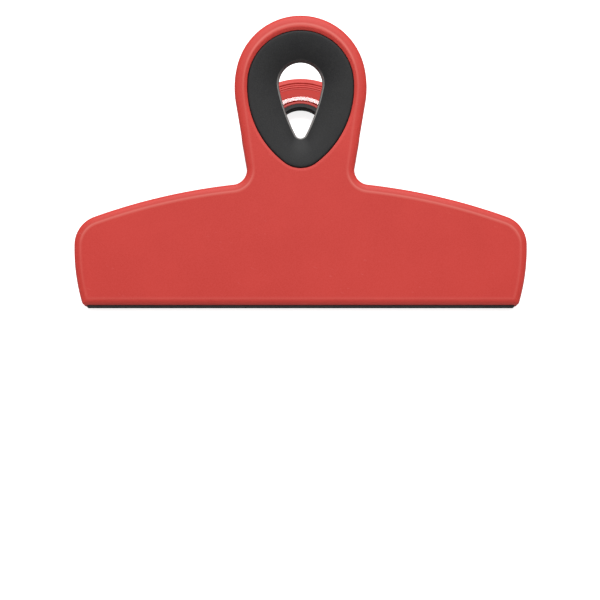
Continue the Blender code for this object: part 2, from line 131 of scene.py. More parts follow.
def arc(centre, radius, start, end, steps):
    angles = [start + (end - start) * k / steps for k in range(steps + 1)]
    return [(centre[0] + radius * math.cos(a), centre[1] + radius * math.sin(a)) for a in angles]


def heading(a, b):
    return math.atan2(b[1] - a[1], b[0] - a[0])


def mirrored(right):
    return right + [(-x, v) for x, v in reversed(right[1:-1])]


def outline(inset=0.0, lip_inset=None):
    """Edge of one half, moved in by inset, and by lip_inset along the lip."""
    lip = inset if lip_inset is None else lip_inset
    side = (jaw_width / 2 - side_radius, side_height)
    crown = (0.0, shoulder_top - shoulder_radius)
    end = (0.0, clip_length - handle_end_radius)
    shift = handle_flank_radius - handle_width / 2
    drop = math.sqrt((handle_flank_radius - handle_end_radius) ** 2 - shift ** 2)
    flank = (-shift, end[1] - drop)
    reach_side, reach_crown = side_radius - jaw_corner, shoulder_radius - jaw_corner
    gap = math.dist(side, crown)
    along = (reach_crown ** 2 - reach_side ** 2 + gap ** 2) / (2 * gap)
    off = math.sqrt(reach_crown ** 2 - along ** 2)
    ux, uv = (side[0] - crown[0]) / gap, (side[1] - crown[1]) / gap
    corner = (crown[0] + along * ux + off * uv, crown[1] + along * uv - off * ux)
    nx, nv = math.cos(flank_lean), -math.sin(flank_lean)
    level = nx * flank[0] + nv * flank[1] + handle_flank_radius + neck_fillet
    base = (nx * level, nv * level)
    dot = -nv * (base[0] - crown[0]) + nx * (base[1] - crown[1])
    travel = -dot + math.sqrt(dot * dot - math.dist(base, crown) ** 2 + (shoulder_radius + neck_fillet) ** 2)
    neck = (base[0] - nv * travel, base[1] + nx * travel)
    small = max(lip_corner - inset, lip_corner / 4)
    reach = side_radius - inset - small
    low = (side[0] + math.sqrt(reach ** 2 - (lip + small - side[1]) ** 2), lip + small)
    a_corner, a_crown, a_neck = heading(side, corner), heading(crown, corner), heading(crown, neck)
    chain = [(low[0] * k / 12, lip) for k in range(12)]
    chain += arc(low, small, -math.pi / 2, heading(side, low), 6)
    chain += arc(side, side_radius - inset, heading(side, low), a_corner, 12)[1:-1]
    chain += arc(corner, jaw_corner - inset, a_corner, a_crown, 14)
    chain += arc(crown, shoulder_radius - inset, a_crown, a_neck, 20)[1:-1]
    chain += arc(neck, neck_fillet + inset, a_neck + math.pi, math.pi - flank_lean, 12)
    chain += arc(flank, handle_flank_radius - inset, -flank_lean, heading(flank, end), 16)
    chain += arc(end, handle_end_radius - inset, heading(flank, end), math.pi / 2, 22)[1:]
    return mirrored(chain)


def teardrop(top, length, top_radius, tip_radius, flank_radius, grow=0.0):
    """Egg or teardrop standing on its tip, grown by grow."""
    upper, lower = (0.0, top - top_radius), (0.0, top - length + tip_radius)
    gap = upper[1] - lower[1]
    reach_upper, reach_lower = flank_radius - top_radius, flank_radius - tip_radius
    below = (reach_upper ** 2 - reach_lower ** 2 + gap ** 2) / (2 * gap)
    flank = (-math.sqrt(reach_upper ** 2 - below ** 2), upper[1] - below)
    a_lower, a_upper = heading(flank, lower), heading(flank, upper)
    chain = arc(lower, tip_radius + grow, -math.pi / 2, a_lower, 14)[:-1]
    chain += arc(flank, flank_radius + grow, a_lower, a_upper, 16)
    chain += arc(upper, top_radius + grow, a_upper, math.pi / 2, 22)[1:]
    return mirrored(chain)


def grip_edge(grow=0.0):
    return teardrop(grip_top, grip_length, grip_top_radius, grip_tip_radius, grip_flank_radius, grow)


def hole_edge(grow=0.0):
    return teardrop(hole_top, hole_length, hole_top_radius, hole_tip_radius, hole_flank_radius, grow)


def between(first, second, share):
    return [(a[0] + (b[0] - a[0]) * share, a[1] + (b[1] - a[1]) * share) for a, b in zip(first, second)]


def level_loop(points, depth):
    return [Vector((x, v, depth)) for x, v in points]


def smooth_step(value, low, high):
    t = min(max((value - low) / (high - low), 0.0), 1.0)
    return t * t * (3 - 2 * t)


def handle_share(v):
    """How far up the handle: none along the jaw, all of it beside the grip."""
    return smooth_step(v, 0.046, 0.070)


# ---- modelling steps ---------------------------------------------------------------------------------
def select_only(item):
    bpy.ops.object.select_all(action="DESELECT")
    item.select_set(True)
    bpy.context.view_layer.objects.active = item


def skin(name, loops, ring=False):
    """Closed skin: a grid is added and its rows are laid on the loops; ends filled, or joined as a ring."""
    if ring:
        loops = loops + [loops[0]]
    count = len(loops[0])
    bpy.ops.object.select_all(action="DESELECT")
    bpy.ops.mesh.primitive_grid_add(x_subdivisions=count, y_subdivisions=len(loops) - 1, size=1.0)
    item = bpy.context.active_object
    item.name = item.data.name = name
    flat = [point for loop in loops for point in loop + loop[:1]]
    for vertex, point in zip(item.data.vertices, flat):
        vertex.co = point
    bpy.ops.object.mode_set(mode="EDIT")
    bpy.ops.mesh.select_all(action="SELECT")
    bpy.ops.mesh.remove_doubles(threshold=0.0000015)
    if not ring:
        bpy.ops.mesh.select_all(action="SELECT")
        bpy.ops.mesh.fill_holes(sides=0)
    bpy.ops.mesh.select_all(action="SELECT")
    bpy.ops.mesh.normals_make_consistent(inside=False)
    bpy.ops.object.mode_set(mode="OBJECT")
    return item


def slab(name, corners, low, high, soft=0.0):
    """Prism along x with its outline in the v-d plane, its long edges eased by soft."""
    item = skin(name, [[Vector((x, v, d)) for v, d in corners] for x in (low, high)])
    if soft:
        ease(item, soft)
    return item


def block(name, low, high, soft=0.0):
    corners = [(low[1], low[2]), (high[1], low[2]), (high[1], high[2]), (low[1], high[2])]
    return slab(name, corners, low[0], high[0], soft)


def circle_points(radius, v, d, sides=48):
    return [(v + radius * math.cos(a), d + radius * math.sin(a)) for a in
            (2 * math.pi * k / sides for k in range(sides))]


def turned(name, profile, sides=64, ring=False):
    """Turned piece on the hinge axis from (x, radius) pairs."""
    loops = [[Vector((x, v, d)) for v, d in circle_points(r, pivot_v, pivot_d, sides)] for x, r in profile]
    return skin(name, loops, ring)


def ease(item, width, segments=2):
    """Soften the edges sharper than thirty degrees."""
    select_only(item)
    bevel = item.modifiers.new("ease", "BEVEL")
    bevel.width = width
    bevel.segments = segments
    bevel.limit_method = "ANGLE"
    bevel.angle_limit = math.radians(30)
    bevel.use_clamp_overlap = True
    bpy.ops.object.modifier_apply(modifier=bevel.name)


def combine(item, tool, operation):
    select_only(item)
    change = item.modifiers.new("combine", "BOOLEAN")
    change.operation = operation
    change.object = tool
    change.solver = "EXACT"
    bpy.ops.object.modifier_apply(modifier=change.name)
    bpy.data.objects.remove(tool)


def shade(item, angle=35.0):
    """Merge leftovers, then shade smoothly with the wide flat faces kept flat."""
    select_only(item)
    bpy.ops.object.mode_set(mode="EDIT")
    bpy.ops.mesh.select_all(action="SELECT")
    bpy.ops.mesh.remove_doubles(threshold=0.000002)
    bpy.ops.object.mode_set(mode="OBJECT")
    bpy.ops.object.shade_smooth_by_angle(angle=math.radians(angle))
    even = item.modifiers.new("even", "WEIGHTED_NORMAL")
    even.keep_sharp = True
    even.weight = 60
    bpy.ops.object.modifier_apply(modifier=even.name)


# ---- the moulding ------------------------------------------------------------------------------------
def tray():
    """Plate with a soft outer edge and a rounded rim, whose foot is filleted along the jaw and stepped
    round the handle."""
    def edge_loop(share, extra, depth):
        slim, broad = outline(edge_width * share + extra), outline(handle_edge_width * share + extra)
        shares = [handle_share(point[1]) for point in broad]
        return [Vector((a[0] + (b[0] - a[0]) * w, a[1] + (b[1] - a[1]) * w, depth))
                for a, b, w in zip(slim, broad, shares)]

    loops = [edge_loop(1.0, face_margin, 0.0), edge_loop(1.0, face_border, 0.0)]
    for turn in (90, 78, 68, 58, 48, 38, 28, 18, 9, 0):
        angle = math.radians(turn)
        loops.append(edge_loop(1 - math.cos(angle), 0.0, edge_depth * (1 - math.sin(angle))))

    def rim_loop(inset, below):
        lip = inset if inset < wall / 2 else lip_bar + inset - wall
        loop = []
        for x, v in outline(inset, lip):
            top = rim_depth(v)
            room = min(1.0, 0.8 * (top - edge_depth) / rim_round)
            loop.append(Vector((x, v, top - below * room)))
        return loop

    near, far = rim_round * corner_share, rim_round
    loops += [rim_loop(0.0, far), rim_loop(near, near), rim_loop(far, 0.0)]
    loops += [rim_loop(wall - far, 0.0), rim_loop(wall - near, near), rim_loop(wall, far)]
    foot = [(share, (1 - share) ** 1.4) for share in (0.0, 0.15, 0.3, 0.45, 0.6, 0.8, 1.0)]
    for (reach, rise), (step, fall) in zip(foot, handle_steps):
        plain = outline(wall + foot_reach * reach, lip_bar + foot_reach * reach)
        stepped = outline(wall + step, lip_bar + step)
        loop = []
        for a, b in zip(plain, stepped):
            w = handle_share(b[1])
            top = rim_depth(a[1])
            low = foot_rise * rise
            if rise > 0 and top < rim - 0.0001:
                low = min(low, top - plate - 2 * rim_round)
            loop.append(Vector((a[0] + (b[0] - a[0]) * w, a[1] + (b[1] - a[1]) * w,
                                plate + low + (rim - rim_round - fall - plate - low) * w)))
        loops.append(loop)
    end = foot_reach + foot_end
    loops.append(level_loop(outline(wall + end, lip_bar + end), plate))
    return skin("moulding", loops)


def add_pan_and_collar(shell):
    """Dished floor behind the grip, a polished ring on it, and the collar round the hole."""
    border, around = grip_gap + pan_wall, lining + grip_gap + collar_wall
    rise = pan_edge_depth + pan_wall
    outer, inner = grip_edge(border), hole_edge(around)
    foot, brim = hole_edge(around + 0.9 * ring_width), hole_edge(around + ring_width)
    loops = [level_loop(outer, plate - overlap), level_loop(outer, rise - 0.8 * pan_round),
             level_loop(grip_edge(border - 0.24 * pan_round), rise - 0.24 * pan_round)]
    start = grip_edge(border - pan_round)
    for share in (0.0, 0.2, 0.4, 0.6, 0.8):
        loops.append(level_loop(between(start, foot, share), rise + (pan_floor - rise) * share))
    loops.append(level_loop(foot, pan_floor))
    combine(shell, skin("pan", loops), "UNION")
    loops = [level_loop(brim, pan_floor - ring_root), level_loop(brim, ring_depth),
             level_loop(inner, ring_depth), level_loop(inner, collar_depth - collar_round),
             level_loop(hole_edge(around - collar_round / 3), collar_depth - collar_round / 3),
             level_loop(hole_edge(around - collar_round), collar_depth)]
    combine(shell, skin("collar", loops), "UNION")
    near, far = hole_edge(around + moat_gap), hole_edge(around + moat)
    high = ring_depth + overlap
    loops = [level_loop(near, moat_depth), level_loop(far, moat_depth),
             level_loop(far, high), level_loop(near, high)]
    combine(shell, skin("moat", loops, ring=True), "DIFFERENCE")


def cut_pan_and_hole(shell):
    """Recess for the grip with a shallow groove round its mouth, and the hole behind it."""
    seat, bore = grip_edge(grip_gap), hole_edge(lining + grip_gap)
    mouth = grip_edge(grip_gap + groove_width)

    def groove_loop(share, depth):
        return [Vector((x, v, depth * (groove_least + (1 - groove_least) * handle_share(v))))
                for x, v in between(mouth, seat, share)]

    loops = [level_loop(between(mouth, seat, -0.25), -overlap)]
    for share, fall in ((0.0, -0.03), (0.25, 0.17), (0.5, 0.42), (0.75, 0.70), (1.0, 1.0)):
        loops.append(groove_loop(share, groove_depth * fall))
    loops += [level_loop(seat, pan_edge_depth), level_loop(bore, pan_depth)]
    combine(shell, skin("recess", loops), "DIFFERENCE")
    eased = hole_edge(lining + grip_gap + bore_round)
    loops = [level_loop(bore, pan_depth - overlap), level_loop(bore, collar_depth - bore_round),
             level_loop(eased, collar_depth), level_loop(eased, collar_depth + overlap)]
    combine(shell, skin("bore", loops), "DIFFERENCE")


def add_ribs(shell):
    """One long rib along the jaw and short ones across it."""
    low, high = plate - overlap, plate + rib_height
    reach = jaw_width / 2 - side_radius - wall / 2
    reach += math.sqrt(side_radius ** 2 - (long_rib_v - side_height) ** 2)
    along = block("rib", (-reach, long_rib_v, low), (reach, long_rib_v + rib, high), rib_round)
    combine(shell, along, "UNION")
    for side in (-1, 1):
        for k in (1, 2, 3):
            x = side * k * rib_spacing
            crown = math.sqrt(shoulder_radius ** 2 - (abs(x) + rib) ** 2)
            top = shoulder_top - shoulder_radius + crown - wall / 2
            start = lip_bar - overlap
            cross = block("rib", (x - rib / 2, start, low), (x + rib / 2, top, high + rib / 4), rib_round)
            combine(shell, cross, "UNION")


def ear(low, high):
    foot, reach = ear_foot / 2, pivot_d - plate + overlap
    start = math.acos(ear_radius / math.hypot(foot, reach)) - math.atan2(reach, foot)
    eye = arc((pivot_v, pivot_d), ear_radius, start, math.pi - start, 28)
    corners = [(pivot_v - foot, plate - overlap), (pivot_v + foot, plate - overlap)] + eye
    return slab("ear", corners, low, high, ear_round)


def add_ears(shell):
    combine(shell, ear(outer_ear, ear_end), "UNION")
    combine(shell, ear(-inner_ear - ear_thickness, -inner_ear), "UNION")
    radius = pin_radius + 0.0001
    eye = turned("eye", [(-ear_end - overlap, radius), (ear_end + overlap, radius)])
    combine(shell, eye, "DIFFERENCE")


def add_leg_seat(shell):
    low, high = pan_depth, pan_floor + seat_height
    start, end = pivot_v + leg_reach - seat_length, pivot_v + leg_reach + wire
    x = leg_x - wire / 2 - seat_play
    combine(shell, block("seat", (x - seat_rib, start, low), (x, end, high), seat_round), "UNION")


def seal_corners(grow=0.0, past=0.0):
    along = Vector((math.cos(half_spread), math.sin(half_spread)))
    inward = Vector((-math.sin(half_spread), math.cos(half_spread)))
    top, under = -closed_gap / 2 + past, -closed_gap / 2 - seal_thickness - grow
    near, far = -seal_nose - past, seal_width + grow
    spots = ((near, under), (far, under), (far, top), (near, top))
    return [tuple(Vector((0.0, lip_half)) + along * s + inward * t) for s, t in spots]


def lip_end_x():
    return jaw_width / 2 - side_radius + math.sqrt(side_radius ** 2 - side_height ** 2)


def make_moulding():
    shell = tray()
    add_pan_and_collar(shell)
    add_ribs(shell)
    add_ears(shell)
    add_leg_seat(shell)
    cut_pan_and_hole(shell)
    half = lip_end_x() - seal_margin + seal_gap
    combine(shell, slab("rebate", seal_corners(seal_gap, 4 * overlap), -half, half), "DIFFERENCE")
    shade(shell)
    return shell


# ---- soft grip, lip strip ----------------------------------------------------------------------------
def make_grip():
    """Egg-shaped soft ring that dishes towards the hole and lines it."""
    under = pan_edge_depth - 0.0001
    mouth = grip_edge_depth + grip_dish
    outer, inner = grip_edge(), hole_edge(hole_flare)
    loops = [level_loop(outer, under), level_loop(outer, grip_edge_depth + grip_round)]
    for turn in (20, 40, 60, 80):
        angle = math.radians(turn)
        loops.append(level_loop(grip_edge(-grip_round * (1 - math.cos(angle))),
                                grip_edge_depth + grip_round * (1 - math.sin(angle))))
    start = grip_edge(-grip_land)
    for k in range(dish_rings):
        share = k / dish_rings
        fall = dish_start * share + (1 - dish_start) * share ** dish_power
        loops.append(level_loop(between(start, inner, share), grip_edge_depth + grip_dish * fall))
    for turn in (0, 12, 25, 38, 52, 66, 78, 90):
        angle = math.radians(turn)
        wider = neck_draft + (hole_flare - neck_draft) * (1 - math.sin(angle))
        loops.append(level_loop(hole_edge(wider), mouth + hole_flare_depth * (1 - math.cos(angle))))
    end, soft = collar_depth + lining_proud, 0.0001
    loops += [level_loop(hole_edge(), end - 3 * soft), level_loop(hole_edge(soft), end - soft),
              level_loop(hole_edge(3 * soft), end), level_loop(hole_edge(lining - 2 * soft), end),
              level_loop(hole_edge(lining), end - 2 * soft), level_loop(hole_edge(lining), pan_depth - soft)]
    ring = skin("grip", loops, ring=True)
    shade(ring, 50.0)
    return ring


def make_strip():
    half = lip_end_x() - seal_margin
    strip = slab("strip", seal_corners(), -half, half)
    ease(strip, seal_round, 3)
    shade(strip, 50.0)
    return strip


# ---- hinge hardware ----------------------------------------------------------------------------------
def make_pin():
    """Pin with a domed head at its left end and a chamfered tail."""
    head = -ear_end - ear_play
    tail = ear_end + ear_play + washer_thickness + pin_tail
    tip, chamfer, soft = 0.0010, 0.0004, 0.0001
    profile = [(tail, tip), (tail - soft, tip + 2 * soft), (tail - chamfer, pin_radius),
               (head + 2 * soft, pin_radius), (head, pin_radius + 2 * soft),
               (head, pin_head_radius - soft), (head - soft, pin_head_radius)]
    for turn in (0, 15, 30, 45, 60, 72, 82):
        angle = math.radians(turn)
        rise = (pin_head_thickness - 2 * soft) * math.sin(angle)
        profile.append((head - 2 * soft - rise, pin_head_radius * math.cos(angle)))
    pin = turned("pin", profile)
    shade(pin)
    return pin


def make_washer():
    """Push-on washer: slightly dished, with notches that leave teeth on the pin."""
    low = ear_end + ear_play
    high = low + washer_thickness
    soft, dish, notch_half = 0.0001, 0.00025, 0.00018
    inner = pin_radius + 0.00003
    profile = [(low, washer_radius - soft), (low + soft, washer_radius), (high - dish, washer_radius),
               (high - dish + soft, washer_radius - soft), (high, inner + soft), (high, inner),
               (high - dish, inner), (low, inner + 3 * soft)]
    washer = turned("washer", profile, ring=True)
    middle = Vector((0.0, pivot_v, pivot_d))
    for k in range(6):
        notch = block("notch", (low - overlap, pin_radius * 0.8, -notch_half),
                      (high + overlap, pin_radius + washer_thickness, notch_half))
        notch.data.transform(Matrix.Translation(middle) @ Matrix.Rotation(math.pi * k / 3, 4, "X"))
        combine(washer, notch, "DIFFERENCE")
    shade(washer)
    return washer


def leg_fall():
    drop = pivot_d - (pan_floor + rest_gap + wire / 2)
    angle = 0.0
    for _ in range(40):
        angle = math.atan2(drop - coil_radius / math.cos(angle), leg_reach)
    return angle


def half_turn(point):
    return 2 * middle_line.dot(point) * middle_line - point


def wire_path():
    """Centre line: front leg, coil, rear leg, about the hinge axis."""
    fall = leg_fall()
    first = math.pi / 2 + 2 * half_spread + fall
    last = 2 * math.pi * (coil_turns + 1) - math.pi / 2 - fall
    count = coil_turns * 36
    coil = []
    for k in range(count + 1):
        share = k / count
        a = first + (last - first) * share
        x = -leg_x + 2 * leg_x * share
        coil.append(Vector((x, coil_radius * math.cos(a), coil_radius * math.sin(a))))
    way = Vector((0.0, math.cos(fall), -math.sin(fall)))
    run = (leg_reach - coil[-1].y) / math.cos(fall)
    tip = coil[-1] + way * run
    rear = [coil[-1] + way * (run - wire) * share for share in (0.1, 0.25, 0.4, 0.55, 0.7, 0.85, 1.0)]
    for turn in (12, 24, 36, 48, 60, 72, 82, 90):
        a = math.radians(turn)
        rear.append(tip - way * wire * (1 - math.sin(a)) + Vector((wire * (1 - math.cos(a)), 0.0, 0.0)))
    rear.append(rear[-1] + Vector((leg_foot - 0.0003, 0.0, 0.0)))
    return [half_turn(p) for p in reversed(rear)] + coil + rear


def make_spring():
    """Round wire laid along its path, both ends rounded over."""
    path = wire_path()
    side = Vector((0.0, 1.0, 0.0))
    loops = []
    sides = 14
    cap = ((0.0003, 0.45), (0.0002, 0.75), (0.00008, 0.94))     # how far past the end, share of the radius

    def ring_at(point, radius, side, other):
        angles = [2 * math.pi * j / sides for j in range(sides)]
        return [point + radius * (math.cos(a) * side + math.sin(a) * other) for a in angles]

    for k, point in enumerate(path):
        ahead = (path[min(k + 1, len(path) - 1)] - path[max(k - 1, 0)]).normalized()
        side = (side - ahead * side.dot(ahead)).normalized()
        other = ahead.cross(side)
        if k == 0:
            loops += [ring_at(point - ahead * out, wire / 2 * share, side, other) for out, share in cap]
        loops.append(ring_at(point, wire / 2, side, other))
        if k == len(path) - 1:
            loops += [ring_at(point + ahead * out, wire / 2 * share, side, other)
                      for out, share in reversed(cap)]
    spring = skin("spring", loops)
    spring.data.transform(Matrix.Translation((0.0, pivot_v, pivot_d)))
    shade(spring, 60.0)
    return spring


# ---- surface attributes ------------------------------------------------------------------------------
def dense(points, step=0.0002):
    """Closed curve filled in with points a step apart."""
    filled = []
    for a, b in zip(points, points[1:] + points[:1]):
        count = max(1, int(math.dist(a, b) / step))
        filled += [(a[0] + (b[0] - a[0]) * k / count, a[1] + (b[1] - a[1]) * k / count) for k in range(count)]
    return filled


def finder(points):
    tree = KDTree(len(points))
    for k, point in enumerate(points):
        tree.insert((point[0], point[1], 0.0), k)
    tree.balance()
    return tree


def mark(item, name, values):
    layer = item.data.attributes.new(name, "FLOAT", "POINT")
    layer.data.foreach_set("value", values)


def mark_moulding(shell):
    """Painted highlight along the outer edge's crease, the polished ring round the collar, and painted shade
    on the face inside the walls.
    """
    rim_tree = finder(dense(outline()))
    collar_tree = finder(dense(hole_edge(lining + grip_gap + collar_wall)))
    crease_light, core, inner = [], [], []
    for vertex in shell.data.vertices:
        x, v, d = vertex.co
        near, _, inset = rim_tree.find((x, v, 0.0))
        facing = (near.y - v) / inset if inset > 1e-6 else 0.0
        crease = edge_width + (handle_edge_width - edge_width) * handle_share(v)
        # painted highlight: a lighter line along the bevel crease, stronger where the edge faces the handle's
        # end and the light
        line = math.exp(-((inset - crease) / crease_width) ** 2) if d < crease_depth else 0.0
        crease_light.append(line * (0.25 + 0.75 * smooth_step(facing, -0.2, 0.8)))
        _, _, off = collar_tree.find((x, v, 0.0))
        core.append(1.0 if abs(d - ring_depth) < 0.00001 and off < ring_width + 0.00002 else 0.0)
        # painted shade mask: the face inside the walls, darkened in the material
        inner.append(1.0 if d > plate - 0.0001 and inset > wall + foot_reach - 0.00005 else 0.0)
    mark(shell, "crease_highlight", crease_light)
    mark(shell, "polished_ring", core)
    mark(shell, "inner_face_shade", inner)


def mark_grip(ring):
    """Painted highlight round the hole's mouth, faded out towards the top of the hole where the light doesn't
    reach it.
    """
    hole_tree = finder(dense(hole_edge()))
    low, high = grip_edge_depth + grip_dish - 0.0001, collar_depth
    top = hole_top - hole_top_radius
    values = []
    for vertex in ring.data.vertices:
        x, v, d = vertex.co
        _, _, away = hole_tree.find((x, v, 0.0))
        mouth_band = 1.0 if away < hole_flare * 0.85 and low < d < high else 0.0
        # painted highlight: full along the sides and bottom of the mouth, fading towards the hole's top
        values.append(mouth_band * (1.0 - 0.8 * smooth_step(v, top, top + hole_top_radius * 0.8)))
    mark(ring, "mouth", values)


# ---- shared effects ----------------------------------------------------------------------------------
def new_group(name, numbers, outputs):
    """Empty node group with named number inputs, a Vector input and the given outputs."""
    group = bpy.data.node_groups.new(name, "ShaderNodeTree")
    group.interface.new_socket("Vector", in_out="INPUT", socket_type="NodeSocketVector")
    for label, value in numbers:
        socket = group.interface.new_socket(label, in_out="INPUT", socket_type="NodeSocketFloat")
        socket.default_value = value
    for label, kind in outputs:
        group.interface.new_socket(label, in_out="OUTPUT", socket_type=kind)
    return group, group.nodes.new("NodeGroupInput"), group.nodes.new("NodeGroupOutput")


def math_node(tree, operation, first, second=None, third=None, clamp=False):
    node = tree.nodes.new("ShaderNodeMath")
    node.operation = operation
    node.use_clamp = clamp
    for slot, value in zip(node.inputs, (first, second, third)):
        if value is None:
            continue
        if isinstance(value, (int, float)):
            slot.default_value = value
        else:
            tree.links.new(value, slot)
    return node.outputs[0]


def noise_node(tree, vector, scale, detail=3.0, rough=0.5):
    node = tree.nodes.new("ShaderNodeTexNoise")
    tree.links.new(vector, node.inputs["Vector"])
    if isinstance(scale, (int, float)):
        node.inputs["Scale"].default_value = scale
    else:
        tree.links.new(scale, node.inputs["Scale"])
    node.inputs["Detail"].default_value = detail
    node.inputs["Roughness"].default_value = rough
    return node.outputs["Fac"]


def ramp_node(tree, value, low, high):
    """Soft step from low to high."""
    node = tree.nodes.new("ShaderNodeMapRange")
    node.interpolation_type = "SMOOTHSTEP"
    tree.links.new(value, node.inputs["Value"])
    node.inputs["From Min"].default_value = low
    node.inputs["From Max"].default_value = high
    return node.outputs["Result"]


def moulded_grain():
    """Fine spark-eroded texture of a mould: a height and a cloudy shade."""
    group, taken, given = new_group("Moulded grain", (("Grain Scale", 2600.0), ("Cloud Scale", 55.0)),
                                    (("Height", "NodeSocketFloat"), ("Cloud", "NodeSocketFloat")))
    vector = taken.outputs["Vector"]
    fine = noise_node(group, vector, taken.outputs["Grain Scale"], 2.0, 0.6)
    cells = group.nodes.new("ShaderNodeTexVoronoi")
    group.links.new(vector, cells.inputs["Vector"])
    group.links.new(taken.outputs["Grain Scale"], cells.inputs["Scale"])
    height = math_node(group, "MULTIPLY_ADD", cells.outputs["Distance"], 0.6, fine)
    group.links.new(height, given.inputs["Height"])
    group.links.new(noise_node(group, vector, taken.outputs["Cloud Scale"], 4.0, 0.6), given.inputs["Cloud"])
    return group


def stray_specks():
    """Sparse tiny specks of dust: one small dot in a few of the cells."""
    group, taken, given = new_group("Stray specks", (("Speck Scale", 260.0), ("Share", 0.06), ("Size", 0.09)),
                                    (("Mask", "NodeSocketFloat"),))
    cells = group.nodes.new("ShaderNodeTexVoronoi")
    group.links.new(taken.outputs["Vector"], cells.inputs["Vector"])
    group.links.new(taken.outputs["Speck Scale"], cells.inputs["Scale"])
    apart = group.nodes.new("ShaderNodeSeparateColor")
    group.links.new(cells.outputs["Color"], apart.inputs["Color"])
    chosen = math_node(group, "LESS_THAN", apart.outputs[0], taken.outputs["Share"])
    size = math_node(group, "MULTIPLY", apart.outputs[1], taken.outputs["Size"])
    dot = math_node(group, "LESS_THAN", cells.outputs["Distance"], size)
    group.links.new(math_node(group, "MULTIPLY", chosen, dot), given.inputs["Mask"])
    return group


def fine_scuffs():
    """Short faint scratches where the piece is slid about."""
    numbers = (("Length Scale", 60.0), ("Width Scale", 2200.0), ("Amount", 0.5))
    group, taken, given = new_group("Fine scuffs", numbers, (("Mask", "NodeSocketFloat"),))
    stretch = group.nodes.new("ShaderNodeCombineXYZ")
    group.links.new(taken.outputs["Length Scale"], stretch.inputs["X"])
    group.links.new(taken.outputs["Width Scale"], stretch.inputs["Y"])
    group.links.new(taken.outputs["Width Scale"], stretch.inputs["Z"])
    turn = group.nodes.new("ShaderNodeVectorRotate")
    turn.rotation_type = "Z_AXIS"
    turn.inputs["Angle"].default_value = 0.5
    group.links.new(taken.outputs["Vector"], turn.inputs["Vector"])
    scaled = group.nodes.new("ShaderNodeVectorMath")
    scaled.operation = "MULTIPLY"
    group.links.new(turn.outputs["Vector"], scaled.inputs[0])
    group.links.new(stretch.outputs["Vector"], scaled.inputs[1])
    streak = ramp_node(group, noise_node(group, scaled.outputs["Vector"], 1.0, 2.0, 0.5), 0.66, 0.76)
    patch = ramp_node(group, noise_node(group, taken.outputs["Vector"], 70.0, 2.0, 0.5), 0.50, 0.70)
    both = math_node(group, "MULTIPLY", streak, patch)
    group.links.new(math_node(group, "MULTIPLY", both, taken.outputs["Amount"]), given.inputs["Mask"])
    return group


grain, specks, scuffs = moulded_grain(), stray_specks(), fine_scuffs()


# ---- finishes ----------------------------------------------------------------------------------------
def new_finish(name, roughness, metallic=0.0, specular=0.5):
    finish = bpy.data.materials.new(name)
    finish.use_nodes = True
    tree = finish.node_tree
    shader = tree.nodes["Principled BSDF"]
    shader.inputs["Roughness"].default_value = roughness
    shader.inputs["Metallic"].default_value = metallic
    shader.inputs["Specular IOR Level"].default_value = specular
    place = tree.nodes.new("ShaderNodeTexCoord")
    return finish, tree, shader, place.outputs["Object"]


def use(tree, group, vector, **numbers):
    node = tree.nodes.new("ShaderNodeGroup")
    node.node_tree = group
    tree.links.new(vector, node.inputs["Vector"])
    for label, value in numbers.items():
        node.inputs[label.replace("_", " ")].default_value = value
    return node


def blend_colour(tree, share, first, second):
    """Mix two colours, each a plain triple or a socket."""
    node = tree.nodes.new("ShaderNodeMix")
    node.data_type = "RGBA"
    if isinstance(share, float):
        node.inputs[0].default_value = share
    else:
        tree.links.new(share, node.inputs[0])
    for slot, value in ((node.inputs[6], first), (node.inputs[7], second)):
        if isinstance(value, tuple):
            slot.default_value = (*value, 1.0)
        else:
            tree.links.new(value, slot)
    return node.outputs[2]


def attribute(tree, name):
    node = tree.nodes.new("ShaderNodeAttribute")
    node.attribute_name = name
    return node.outputs["Fac"]


def bump(tree, shader, height, distance, strength=1.0):
    node = tree.nodes.new("ShaderNodeBump")
    node.inputs["Strength"].default_value = strength
    node.inputs["Distance"].default_value = distance
    tree.links.new(height, node.inputs["Height"])
    tree.links.new(node.outputs["Normal"], shader.inputs["Normal"])


def red_moulding():
    finish, tree, shader, place = new_finish("red moulded plastic", 0.5, 0.0, 0.35)
    surface = use(tree, grain, place, Grain_Scale=2400.0, Cloud_Scale=45.0)
    dust = use(tree, specks, place, Speck_Scale=150.0, Share=0.05, Size=0.085)
    marks = use(tree, scuffs, place, Length_Scale=90.0, Width_Scale=1500.0, Amount=0.5)
    cloud = ramp_node(tree, surface.outputs["Cloud"], 0.35, 0.70)
    colour = blend_colour(tree, cloud, (0.545, 0.036, 0.027), (0.575, 0.041, 0.031))
    fleck = math_node(tree, "MULTIPLY", ramp_node(tree, surface.outputs["Height"], 0.45, 1.05), 0.30)
    colour = blend_colour(tree, fleck, colour, (0.640, 0.070, 0.056))
    # painted shade: the face inside the walls is darkened towards a deeper red
    colour = blend_colour(tree, math_node(tree, "MULTIPLY", attribute(tree, "inner_face_shade"), 0.8), colour,
                          (0.400, 0.036, 0.028))
    # painted highlight: the colour is lightened along the bevel crease
    crease_light = math_node(tree, "MULTIPLY", attribute(tree, "crease_highlight"), 0.38)
    colour = blend_colour(tree, crease_light, colour, (0.86, 0.30, 0.25))
    scratched = math_node(tree, "MULTIPLY", marks.outputs["Mask"], 0.35)
    colour = blend_colour(tree, scratched, colour, (0.78, 0.30, 0.27))
    dusty = math_node(tree, "MULTIPLY", dust.outputs["Mask"], 0.75)
    colour = blend_colour(tree, dusty, colour, (0.85, 0.62, 0.58))
    tree.links.new(colour, shader.inputs["Base Color"])
    rough = math_node(tree, "MULTIPLY_ADD", surface.outputs["Height"], 0.10, 0.44)
    polished = attribute(tree, "polished_ring")
    rough = math_node(tree, "MULTIPLY_ADD", polished, -0.42, rough, clamp=True)
    tree.links.new(math_node(tree, "MAXIMUM", rough, 0.06), shader.inputs["Roughness"])
    matt = math_node(tree, "SUBTRACT", 1.0, polished)
    bump(tree, shader, math_node(tree, "MULTIPLY", surface.outputs["Height"], matt), 0.00002, 0.6)
    return finish


